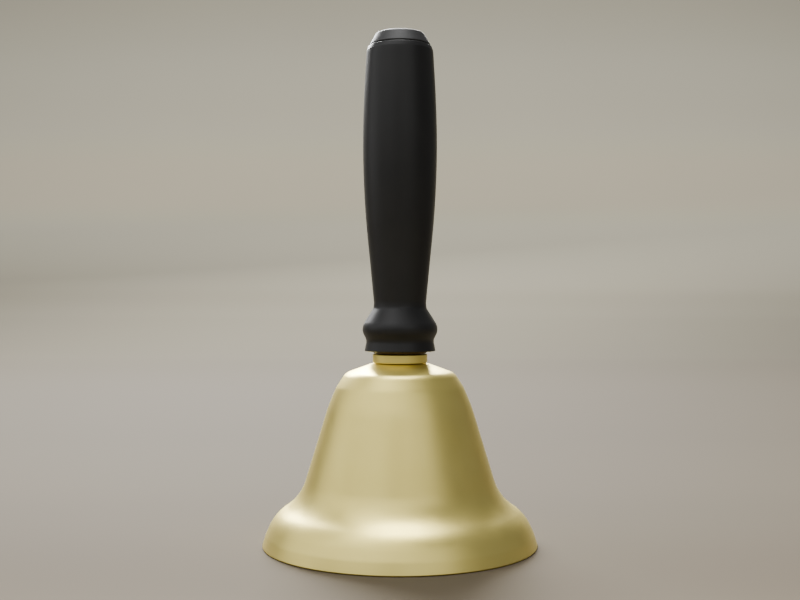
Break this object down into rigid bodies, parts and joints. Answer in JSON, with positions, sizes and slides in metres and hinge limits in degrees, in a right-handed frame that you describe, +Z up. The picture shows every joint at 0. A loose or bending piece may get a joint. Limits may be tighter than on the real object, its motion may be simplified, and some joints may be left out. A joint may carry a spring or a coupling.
{
  "type": "hand bell",
  "caption": "Service hand bell with a turned black handle on a satin brass cup, a through-rod and a clapper hung on a wire link.",
  "frame": {"origin": "centre of the rim's bottom plane, on the bell's axis", "axes": "+Z up the handle; X is the main swing direction of the clapper; Y completes the frame"},
  "size_m": [0.09, 0.09, 0.168],
  "materials": {
    "satin_brass": "satin, fine turning marks",
    "dark_brass": "satin, darkened",
    "black_lacquer": "black satin lacquer on turned wood",
    "plated_steel": "zinc plated",
    "vulcan_fibre": "matt"
  },
  "bodies": {
    "bell": {"bell_cup": "satin_brass", "crown_washer": "vulcan_fibre", "collar": "satin_brass", "handle_ferrule": "dark_brass", "handle_grip": "black_lacquer", "handle_end_cap": "black_lacquer", "tie_rod": "plated_steel", "top_washer": "plated_steel", "top_lock_washer": "plated_steel", "top_nut": "plated_steel", "inner_gasket": "vulcan_fibre", "inner_washer": "plated_steel", "inner_lock_washer": "plated_steel", "clamp_nut": "plated_steel", "clapper_eye": "plated_steel"},
    "link": {"clapper_link": "plated_steel"},
    "clapper": {"clapper_rod": "plated_steel", "clapper_ball": "satin_brass", "ball_lock_nut": "plated_steel"}
  },
  "joints": [
    {"name": "link_swing", "type": "hinge", "parent": "bell", "child": "link", "pos_m": [0, 0, 0.0399], "axis": [0, 1, 0], "range_deg": [-43, 43]},
    {"name": "clapper_swing", "type": "hinge", "parent": "link", "child": "clapper", "pos_m": [0, 0, 0.0338], "axis": [1, 0, 0], "range_deg": [-18, 18]}
  ]
}
